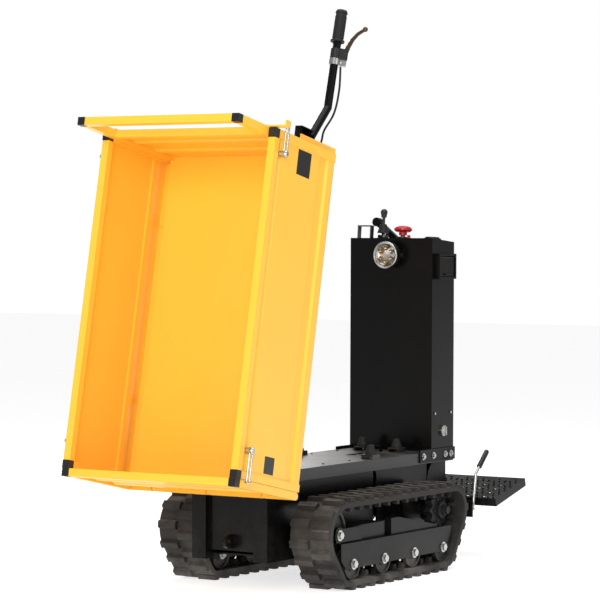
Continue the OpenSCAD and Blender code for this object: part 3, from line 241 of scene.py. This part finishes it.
dustColour = (0.36, 0.33, 0.29, 1)
finishes = {
    "yellowCoat": {"base": (0.98, 0.535, 0.045), "deep": (0.97, 0.505, 0.036), "rough": 0.33, "roughSpread": 0.1,
        "grain": 520, "bump": 0.05, "wear": 0.12, "bare": (0.55, 0.42, 0.22), "edge": 0.0016, "dust": 0.05,
        "coat": 0.25, "specular": 0.5, "slot": "yellow_metal"},
    "blackCoat": {"base": (0.0042, 0.0041, 0.0042), "deep": (0.0026, 0.0026, 0.0027), "rough": 0.24,
        "roughSpread": 0.14, "grain": 700, "bump": 0.08, "wear": 0.35, "bare": (0.13, 0.125, 0.12),
        "edge": 0.0012, "dust": 0.1,
        "lowDirt": 0.05, "coat": 0.0, "specular": 0.14, "slot": "black_metal"},
    "deckCoat": {"base": (0.024, 0.024, 0.026), "deep": (0.016, 0.016, 0.018), "rough": 0.36, "roughSpread": 0.16,
        "grain": 650, "bump": 0.12, "wear": 0.5, "bare": (0.22, 0.21, 0.2), "edge": 0.0015, "dust": 0.35,
        "coat": 0.0, "specular": 0.5, "slot": "deck_metal"},
    "zincPlate": {"base": (0.62, 0.61, 0.58), "deep": (0.46, 0.46, 0.45), "rough": 0.28, "roughSpread": 0.22,
        "grain": 900, "bump": 0.06, "wear": 0.2, "bare": (0.75, 0.74, 0.72), "edge": 0.0006, "dust": 0.1,
        "metal": 1.0, "slot": "zinc"},
    "darkZinc": {"base": (0.22, 0.22, 0.225), "deep": (0.13, 0.13, 0.135), "rough": 0.34, "roughSpread": 0.2,
        "grain": 900, "bump": 0.06, "wear": 0.4, "bare": (0.6, 0.6, 0.6), "edge": 0.0008, "dust": 0.1,
        "metal": 1.0, "slot": "zinc"},
    "trackRubber": {"base": (0.032, 0.029, 0.027), "deep": (0.014, 0.0125, 0.0115), "rough": 0.72, "roughSpread": 0.2,
        "grain": 340, "bump": 0.35, "wear": 0.55, "bare": (0.062, 0.054, 0.047), "edge": 0.003, "dust": 0.5,
        "lowDirt": 0.28, "specular": 0.35, "slot": "rubber"},
    "softRubber": {"base": (0.014, 0.014, 0.014), "deep": (0.009, 0.009, 0.009), "rough": 0.62, "roughSpread": 0.14,
        "grain": 800, "bump": 0.16, "wear": 0.2, "bare": (0.04, 0.04, 0.04), "edge": 0.001, "dust": 0.2,
        "specular": 0.35, "slot": "rubber"},
    "blackPlastic": {"base": (0.010, 0.010, 0.011), "deep": (0.007, 0.007, 0.008), "rough": 0.4, "roughSpread": 0.12,
        "grain": 1100, "bump": 0.1, "wear": 0.15, "bare": (0.04, 0.04, 0.04), "edge": 0.0008, "dust": 0.1,
        "specular": 0.45, "slot": "black_plastic"},
    "redPlastic": {"base": (0.62, 0.012, 0.016), "deep": (0.42, 0.008, 0.01), "rough": 0.3, "roughSpread": 0.1,
        "grain": 900, "bump": 0.05, "wear": 0.1, "bare": (0.7, 0.08, 0.08), "edge": 0.001, "dust": 0.06,
        "specular": 0.5, "slot": "red_plastic"},
    "redSheath": {"base": (0.5, 0.014, 0.012), "deep": (0.3, 0.01, 0.01), "rough": 0.42, "roughSpread": 0.12,
        "grain": 900, "bump": 0.08, "wear": 0.0, "bare": (0.5, 0.05, 0.05), "edge": 0.0006, "dust": 0.1,
        "specular": 0.5, "slot": "red_cable"},
    "castSteel": {"base": (0.016, 0.016, 0.017), "deep": (0.010, 0.010, 0.011), "rough": 0.5, "roughSpread": 0.2,
        "grain": 420, "bump": 0.22, "wear": 0.6, "bare": (0.2, 0.19, 0.18), "edge": 0.0018, "dust": 0.3,
        "lowDirt": 0.3, "specular": 0.4, "slot": "black_metal"},
    "brightBowl": {"base": (0.86, 0.86, 0.86), "deep": (0.7, 0.7, 0.7), "rough": 0.3, "roughSpread": 0.06,
        "grain": 600, "bump": 0.02, "wear": 0.0, "bare": (0.9, 0.9, 0.9), "edge": 0.0006, "dust": 0.02,
        "metal": 1.0, "slot": "zinc"},
    "leverBronze": {"base": (0.105, 0.07, 0.05), "deep": (0.06, 0.042, 0.032), "rough": 0.34, "roughSpread": 0.2,
        "grain": 700, "bump": 0.1, "wear": 0.4, "bare": (0.34, 0.28, 0.23), "edge": 0.001, "dust": 0.1,
        "metal": 0.75, "slot": "black_plastic"},
    # reflector cups: a gold tint, darkened to paint the shade that falls inside the cups
    "cupGoldPaintedShade": {"base": (0.44, 0.29, 0.11), "deep": (0.2, 0.12, 0.05), "rough": 0.2, "roughSpread": 0.08,
        "grain": 1400, "bump": 0.03, "wear": 0.0, "bare": (0.8, 0.6, 0.3), "edge": 0.0004, "dust": 0.0,
        "metal": 1.0, "slot": "zinc"},
    "amberDiode": {"base": (0.75, 0.42, 0.08), "deep": (0.6, 0.3, 0.05), "rough": 0.25, "roughSpread": 0.1,
        "grain": 1500, "bump": 0.05, "wear": 0.0, "bare": (0.8, 0.5, 0.1), "edge": 0.0003, "dust": 0.0,
        "slot": "clear_lens"},
    "blankLabel": {"base": (0.006, 0.006, 0.006), "deep": (0.004, 0.004, 0.004), "rough": 0.3, "roughSpread": 0.06,
        "grain": 900, "bump": 0.02, "wear": 0.2, "bare": (0.05, 0.05, 0.05), "edge": 0.0005, "dust": 0.03,
        "specular": 0.5, "slot": "black_plastic"},
}


def mixColour(tree, mask, under, over):
    node = tree.nodes.new("ShaderNodeMix")
    node.data_type = "RGBA"
    tree.links.new(mask, node.inputs["Factor"])
    for label, value in (("A", under), ("B", over)):
        socket = [i for i in node.inputs if i.name == label and i.type == "RGBA"][0]
        if isinstance(value, tuple):
            socket.default_value = (*value[:3], 1)
        else:
            tree.links.new(value, socket)
    return [o for o in node.outputs if o.type == "RGBA"][0]


def groupNode(tree, name, **values):
    node = tree.nodes.new("ShaderNodeGroup")
    node.node_tree = groups[name]
    for label, value in values.items():
        node.inputs[label.replace("_", " ")].default_value = value
    return node


def makeFinish(name, f):
    paint = bpy.data.materials.new(name)
    paint.use_nodes = True
    tree = paint.node_tree
    shader = tree.nodes["Principled BSDF"]
    wear = groupNode(tree, "edgeWear", Radius=f["edge"], Amount=f["wear"])
    grain = groupNode(tree, "coatGrain", Scale=float(f["grain"]))
    dust = groupNode(tree, "dustFall", Amount=f["dust"], Low_Dirt=f.get("lowDirt", 0.0))
    coat = mixColour(tree, grain.outputs["Cloud"], f["deep"], f["base"])
    worn = mixColour(tree, wear.outputs["Mask"], coat, f["bare"])
    dusty = mixColour(tree, dust.outputs["Mask"], worn, f.get("dustColour", dustColour))
    tree.links.new(dusty, shader.inputs["Base Color"])
    spread = mathNode(tree, "MULTIPLY_ADD", grain.outputs["Cloud"], f["roughSpread"])
    spread.node.inputs[2].default_value = f["rough"] - f["roughSpread"] / 2
    rough = mathNode(tree, "ADD", spread, mathNode(tree, "MULTIPLY", dust.outputs["Mask"], 0.4), True)
    tree.links.new(rough, shader.inputs["Roughness"])
    bump = tree.nodes.new("ShaderNodeBump")
    bump.inputs["Strength"].default_value = f["bump"]
    bump.inputs["Distance"].default_value = 0.0006
    tree.links.new(grain.outputs["Height"], bump.inputs["Height"])
    tree.links.new(wear.outputs["Normal"], bump.inputs["Normal"])
    tree.links.new(bump.outputs["Normal"], shader.inputs["Normal"])
    shader.inputs["Metallic"].default_value = f.get("metal", 0.0)
    shader.inputs["Specular IOR Level"].default_value = f.get("specular", 0.5)
    shader.inputs["Coat Weight"].default_value = f.get("coat", 0.0)
    shader.inputs["Coat Roughness"].default_value = 0.22
    return paint


materials = {name: makeFinish(name, facts) for name, facts in finishes.items()}


def makeLensGlass():
    paint = bpy.data.materials.new("lensGlass")
    paint.use_nodes = True
    tree = paint.node_tree
    shader = tree.nodes["Principled BSDF"]
    shader.inputs["Base Color"].default_value = (0.93, 0.95, 0.97, 1)
    shader.inputs["Transmission Weight"].default_value = 1.0
    shader.inputs["IOR"].default_value = 1.46
    grain = groupNode(tree, "coatGrain", Scale=240.0)
    haze = mathNode(tree, "MULTIPLY", grain.outputs["Cloud"], 0.03)
    tree.links.new(haze, shader.inputs["Roughness"])
    bump = tree.nodes.new("ShaderNodeBump")
    bump.inputs["Strength"].default_value = 0.08
    bump.inputs["Distance"].default_value = 0.0005
    tree.links.new(grain.outputs["Height"], bump.inputs["Height"])
    tree.links.new(bump.outputs["Normal"], shader.inputs["Normal"])
    return paint


materials["lensGlass"] = makeLensGlass()
print("finishes made", len(materials))

# ---- which finish each node wears ----

wearing = {
    "yellowCoat": ["bed_frame", "headboard", "front_gate", "side_gate_l", "side_gate_r"],
    "blackCoat": ["chassis_frame", "column_shell", "top_arm", "port_housing", "port_flap", "handle_tube",
        "track_frames", "platform"],
    "deckCoat": ["deck_plate"],
    "zincPlate": ["fasteners", "latch_bolts_l", "latch_bolts_r", "bail_lf", "bail_lb", "bail_rf", "bail_rb",
        "lever_clamp", "side_latch", "park_lever"],
    "darkZinc": ["grab_bracket", "lock_hook", "joystick_cradle"],
    "trackRubber": ["belt_l", "belt_r"],
    "softRubber": ["buffers", "handle_grip", "brake_cable"],
    "blackPlastic": ["joystick_base", "joystick_lever", "panel_fittings", "lever_housing", "park_grip", "lamp",
        "caps_bed", "caps_front", "caps_side_l", "caps_side_r"],
    "leverBronze": ["release_lever"],
    "redPlastic": ["estop_head", "red_key"],
    "redSheath": ["wiring"],
    "castSteel": ["gearmotors", "idler_l", "idler_r_wheel", "sprocket_l", "sprocket_r_wheel"]
        + ["rollers_%s%d" % (side, k) for side in "lr" for k in (1, 2, 3, 4)],
    "lensGlass": ["lamp_lens"],
}
for finish, names in wearing.items():
    for nodeName in names:
        node = nodes[nodeName]
        node.data.materials.clear()
        node.data.materials.append(materials[finish])
bare = sorted(set(nodes) - {n for names in wearing.values() for n in names})
print("nodes without a finish:", bare)

# ---- making pieces ----


def newPiece(name, mesh, finish, body):
    piece = bpy.data.objects.new(name, mesh)
    bpy.context.scene.collection.objects.link(piece)
    if finish and not mesh.materials:
        mesh.materials.append(materials[finish])
    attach(piece, body)
    return piece


def tidyMesh(bm, name):
    bmesh.ops.remove_doubles(bm, verts=bm.verts, dist=1e-6)
    bmesh.ops.recalc_face_normals(bm, faces=bm.faces)
    mesh = bpy.data.meshes.new(name)
    bm.to_mesh(mesh)
    bm.free()
    return mesh


def turnedShape(bm, profile, place, axis, steps=40, capped=True):
    # profile is (radius, along) pairs, turned about the axis through place; uncapped, it closes on itself as a ring
    axis = Vector(axis).normalized()
    side = axis.orthogonal().normalized()
    other = axis.cross(side)
    rings = []
    for radius, along in profile:
        centre = Vector(place) + axis * along
        if radius < 1e-6:
            rings.append([bm.verts.new(centre)])
        else:
            rings.append([bm.verts.new(centre + radius * (math.cos(a) * side + math.sin(a) * other))
                for a in (2 * math.pi * k / steps for k in range(steps))])
    for low, high in zip(rings, rings[1:] if capped else rings[1:] + rings[:1]):
        for k in range(steps):
            n = (k + 1) % steps
            corners = [low[k % len(low)], low[n % len(low)], high[n % len(high)], high[k % len(high)]]
            corners = list(dict.fromkeys(corners))
            if len(corners) > 2:
                bm.faces.new(corners)
    for ring in (rings[0], rings[-1]):
        if capped and len(ring) > 2:
            bm.faces.new(ring)


def boxShape(bm, low, high):
    made = bmesh.ops.create_cube(bm, size=1.0)["verts"]
    low, high = Vector(low), Vector(high)
    for v in made:
        v.co = Vector((low[i] + (v.co[i] + 0.5) * (high[i] - low[i]) for i in range(3)))
    return made


joints = {j["name"]: j for j in frame["joints"]}
tip = {"angle": math.radians(78.5), "forward": 0.0684, "up": 0.073, "pivot": Vector(joints["bed_tip"]["pos_m"])}


def onBed(x, y, z):
    # a place on the lowered bed, in metres from its front outer corner, where it is when tipped
    along, up = x + tip["forward"], z + tip["up"]
    c, s = math.cos(tip["angle"]), math.sin(tip["angle"])
    return Vector((tip["pivot"].x + along * c + up * s, y, tip["pivot"].z - along * s + up * c))


def bedTurn():
    return Matrix.Rotation(tip["angle"], 4, "Y")


def treeWith(name, ins):
    tree = bpy.data.node_groups.new(name, "GeometryNodeTree")
    tree.interface.new_socket(name="Geometry", in_out="INPUT", socket_type="NodeSocketGeometry")
    for label, kind, value in ins:
        tree.interface.new_socket(name=label, in_out="INPUT", socket_type=kind).default_value = value
    tree.interface.new_socket(name="Geometry", in_out="OUTPUT", socket_type="NodeSocketGeometry")
    return tree, tree.nodes.new("NodeGroupInput"), tree.nodes.new("NodeGroupOutput")


def growPiece(name, seed, tree, values, finish, body):
    # the seed mesh grows into the finished one, which replaces the modifier
    source = bpy.data.objects.new(name + "Seed", seed)
    bpy.context.scene.collection.objects.link(source)
    grower = source.modifiers.new("grow", "NODES")
    grower.node_group = tree
    sockets = {i.name: i.identifier for i in tree.interface.items_tree
        if i.item_type == "SOCKET" and i.in_out == "INPUT"}
    for label, value in values.items():
        grower[sockets[label]] = value
    bpy.context.view_layer.update()
    grown = bpy.data.meshes.new_from_object(source.evaluated_get(bpy.context.evaluated_depsgraph_get()))
    source.modifiers.clear()
    bpy.data.objects.remove(source)
    grown.name = name
    return newPiece(name, grown, finish, body)


def pointSeed(name, places, headings):
    # points that carry the way each one faces
    mesh = bpy.data.meshes.new(name)
    mesh.from_pydata([tuple(p) for p in places], [], [])
    facing = mesh.attributes.new("facing", "FLOAT_VECTOR", "POINT")
    facing.data.foreach_set("vector", [c for h in headings for c in h])
    return mesh


def headTree(name, finish, sides, radius, height, taper):
    # one small turned head on every point, turned to face outwards
    tree, give, take = treeWith(name, [("Radius", "NodeSocketFloat", radius), ("Height", "NodeSocketFloat", height),
        ("Taper", "NodeSocketFloat", taper)])
    shape = tree.nodes.new("GeometryNodeMeshCone")
    shape.inputs["Vertices"].default_value = sides
    tree.links.new(give.outputs["Radius"], shape.inputs["Radius Bottom"])
    small = tree.nodes.new("ShaderNodeMath")
    small.operation = "MULTIPLY"
    tree.links.new(give.outputs["Radius"], small.inputs[0])
    tree.links.new(give.outputs["Taper"], small.inputs[1])
    tree.links.new(small.outputs[0], shape.inputs["Radius Top"])
    tree.links.new(give.outputs["Height"], shape.inputs["Depth"])
    facing = tree.nodes.new("GeometryNodeInputNamedAttribute")
    facing.data_type = "FLOAT_VECTOR"
    facing.inputs["Name"].default_value = "facing"
    turn = tree.nodes.new("FunctionNodeAlignRotationToVector")
    turn.axis = "Z"
    tree.links.new([o for o in facing.outputs if o.enabled and o.name == "Attribute"][0], turn.inputs["Vector"])
    spread = tree.nodes.new("GeometryNodeInstanceOnPoints")
    tree.links.new(give.outputs["Geometry"], spread.inputs["Points"])
    tree.links.new(shape.outputs["Mesh"], spread.inputs["Instance"])
    tree.links.new(turn.outputs["Rotation"], spread.inputs["Rotation"])
    whole = tree.nodes.new("GeometryNodeRealizeInstances")
    tree.links.new(spread.outputs["Instances"], whole.inputs["Geometry"])
    coat = tree.nodes.new("GeometryNodeSetMaterial")
    coat.inputs["Material"].default_value = materials[finish]
    tree.links.new(whole.outputs["Geometry"], coat.inputs["Geometry"])
    tree.links.new(coat.outputs["Geometry"], take.inputs["Geometry"])
    return tree


# ---- deck screws ----

deckScrews = {"radius": 0.0062, "height": 0.0032, "taper": 0.62, "xs": (-0.45, -0.25, -0.05, 0.15, 0.35, 0.55),
    "y": 0.15, "top": 0.462}


def addDeckScrews(s):
    places = [(x, side * s["y"], s["top"]) for x in s["xs"] for side in (-1, 1)]
    seed = pointSeed("deckScrewSeed", places, [(0, 0, 1)] * len(places))
    growPiece("deckScrews", seed, headTree("pressedHeads", "blackPlastic", 16, s["radius"], s["height"], s["taper"]),
        {"Radius": s["radius"], "Height": s["height"], "Taper": s["taper"]}, "blackPlastic", "chassis")


addDeckScrews(deckScrews)

# ---- tread of the platform ----

tread = {"pitch": 0.026, "radius": 0.006, "height": 0.0045, "taper": 0.5, "slope": 14.0,
    "first": 0.046, "length": 0.262, "halfWidth": 0.365, "top": 0.028,
    "holes": {"first": 74, "along": 50, "across": 78, "clear": 16}}   # hole centres in mm from the hinge


def onHole(x, y, h):
    along = [abs(x * 1000 + h["first"] + m * h["along"]) < h["clear"] for m in range(5)]
    across = [abs(y * 1000 - n * h["across"]) < h["clear"] for n in range(-4, 5)]
    return any(along) and any(across)


def addTread(t):
    hinge = Vector(joints["platform_press"]["pos_m"])
    c, s = math.cos(math.radians(t["slope"])), math.sin(math.radians(t["slope"]))
    places = []
    for i in range(int(t["length"] / t["pitch"])):
        for k in range(-14, 15):
            x = -t["first"] - i * t["pitch"]
            y = (k + 0.5 * (i % 2)) * t["pitch"]
            if abs(y) > t["halfWidth"] or onHole(x, y, t["holes"]):
                continue
            places.append((hinge.x + x * c + t["top"] * s, y, hinge.z - x * s + t["top"] * c))
    seed = pointSeed("treadSeed", places, [(s, 0, c)] * len(places))
    growPiece("platformTread", seed, headTree("treadStuds", "blackCoat", 8, t["radius"], t["height"], t["taper"]),
        {"Radius": t["radius"], "Height": t["height"], "Taper": t["taper"]}, "blackCoat", "platform")


addTread(tread)
print("screws and tread placed")

# ---- headlight bowl ----

lampBowl = {"radius": 0.0485, "depth": 0.014, "wall": 0.0015, "bezel": 0.0055,
    "cup": 0.0105, "cupDepth": 0.008, "ring": 0.0295, "cups": 6}


def addLampBowl(b):
    low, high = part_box("lamp_lens")
    middle = Vector((low.x - 0.0006, (low.y + high.y) / 2, (low.z + high.z) / 2))
    bm = bmesh.new()
    # shallow dish, open to the front, with a rolled rim
    r, back = b["radius"], -b["depth"] - b["wall"]
    turnedShape(bm, [(0.0, -b["depth"]), (r * 0.82, -b["depth"]), (r * 0.97, -0.004), (r, 0.0),
        (r + 0.0005, -0.004), (r * 0.85, back), (0.0, back)], middle, (1, 0, 0), 48)
    turns = [math.pi / 6 + 2 * math.pi * k / b["cups"] for k in range(b["cups"])]
    spots = [(b["ring"] * math.cos(a), b["ring"] * math.sin(a)) for a in turns]
    mesh = tidyMesh(bm, "lampBowl")
    mesh.shade_smooth()
    newPiece("lampBowl", mesh, "brightBowl", "lamp")
    bm = bmesh.new()
    for y, z in spots:
        at = middle + Vector((-b["depth"] + 0.0005, y, z))
        turnedShape(bm, [(b["cup"] * 0.35, 0.0), (b["cup"] * 0.9, b["cupDepth"]), (b["cup"], b["cupDepth"]),
            (b["cup"], b["cupDepth"] - 0.001), (b["cup"] * 0.45, 0.0)], at, (1, 0, 0), 24)
    mesh = tidyMesh(bm, "lampCups")
    mesh.shade_smooth()
    # the cups wear the darkened gold, a painted shade for their hollows
    newPiece("lampCups", mesh, "cupGoldPaintedShade", "lamp")
    bm = bmesh.new()
    for y, z in spots:
        at = middle + Vector((-b["depth"] + 0.001, y, z))
        turnedShape(bm, [(0.0, 0.003), (0.003, 0.0025), (0.0042, 0.0), (0.0, 0.0)], at, (1, 0, 0), 12)
    newPiece("lampDiodes", tidyMesh(bm, "lampDiodes"), "amberDiode", "lamp")
    bm = bmesh.new()
    rim = b["radius"] + b["bezel"]
    turnedShape(bm, [(rim - 0.005, 0.0052), (rim, 0.0062), (rim + 0.0025, 0.004), (rim + 0.0028, -0.006),
        (rim + 0.0022, -0.007), (rim + 0.0012, -0.006), (rim + 0.0008, 0.002), (rim - 0.005, 0.0046)],
        middle, (1, 0, 0), 64, False)
    mesh = tidyMesh(bm, "lampBezel")
    mesh.shade_smooth()
    newPiece("lampBezel", mesh, "zincPlate", "lamp")


addLampBowl(lampBowl)
print("headlight bowl made")

# ---- blank labels on the side gate ----

labels = {"thick": 0.0006, "sunk": 0.005, "places": [(-1.232, 0.209, 0.095, 0.092), (-0.102, 0.217, 0.064, 0.066)]}


def addLabels(s):
    bm = bmesh.new()
    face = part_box("side_gate_l")[1].y
    for x, z, long, wide in s["places"]:
        made = boxShape(bm, (-long / 2, -s["thick"] / 2, -wide / 2), (long / 2, s["thick"] / 2, wide / 2))
        placed = Matrix.Translation(onBed(x, face - s["sunk"], z)) @ bedTurn()
        bmesh.ops.transform(bm, matrix=placed, verts=made)
    newPiece("blankLabels", tidyMesh(bm, "blankLabels"), "blankLabel", "side_left")


addLabels(labels)

# ---- release cable and wires ----

cable = {"diameter": 0.008, "steps": 6, "bedLength": 1.322, "handleY": 0.3436}
wires = {"diameter": 0.008, "feet": [(-0.444, 0.130), (-0.457, 0.138), (-0.470, 0.146)], "low": 0.140,
    "high": 0.4575, "lean": 0.012, "steps": 16, "pivotX": 0.6816}


def smoothLine(points, steps):
    line = []
    for i in range(len(points) - 1):
        a, b, c, d = (points[max(i - 1, 0)], points[i], points[i + 1], points[min(i + 2, len(points) - 1)])
        for k in range(steps):
            t = k / steps
            bend, twist = 2 * a - 5 * b + 4 * c - d, 3 * b - a - 3 * c + d
            line.append(0.5 * (2 * b + (c - a) * t + bend * t * t + twist * t * t * t))
    return line + [points[-1]]


def addCord(name, line, diameter, finish, body, stands, **facts):
    curve = bpy.data.curves.new(name, "CURVE")
    curve.dimensions, curve.bevel_depth, curve.bevel_resolution = "3D", diameter / 2, 5
    curve.use_fill_caps = True
    spline = curve.splines.new("POLY")
    spline.points.add(len(line) - 1)
    for point, place in zip(spline.points, line):
        point.co = (*place, 1)
    curve.materials.append(materials[finish])
    piece = bpy.data.objects.new(name, curve)
    bpy.context.scene.collection.objects.link(piece)
    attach(piece, body)
    if stands:
        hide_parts(stands)


def addCables(c, w):
    end, y = c["bedLength"], c["handleY"]
    route = [(-end - 0.3375, y + 0.019, -0.004), (-end - 0.25, y + 0.017, -0.016), (-end - 0.16, y + 0.007, -0.014),
        (-end - 0.084, y - 0.003, 0.026), (-end - 0.048, y - 0.016, 0.016), (-end - 0.03, y - 0.044, -0.018),
        (-end - 0.002, y - 0.072, -0.022), (-end + 0.022, y - 0.11, -0.013), (-end + 0.022, 0.15, -0.012),
        (-end + 0.024, 0.06, -0.013), (-end + 0.052, 0.026, -0.014), (-1.24, 0.0205, -0.014)]
    line = smoothLine([onBed(*p) for p in route], c["steps"])
    addCord("releaseCable", line, c["diameter"], "softRubber", "bed", "brake_cable", stiffness="medium", lay="taut")
    shift = joints["bed_tip"]["pos_m"][0] - w["pivotX"]
    for k, (footX, footY) in enumerate(w["feet"]):
        bend = w["lean"] * (1 + 0.5 * k)
        wire = []
        for n in range(w["steps"] + 1):
            t = n / w["steps"]
            sway = math.sin(math.pi * t) ** 2
            drop = w["high"] + (w["low"] - w["high"]) * t
            wire.append(Vector((footX + shift - bend * sway, footY + 0.004 * sway * (k - 1), drop)))
        addCord("loomWire%d" % (k + 1), wire, w["diameter"], "redSheath", "chassis", "wiring" if k == 0 else None,
            stiffness="medium", lay="hanging")


addCables(cable, wires)
print("cables laid")
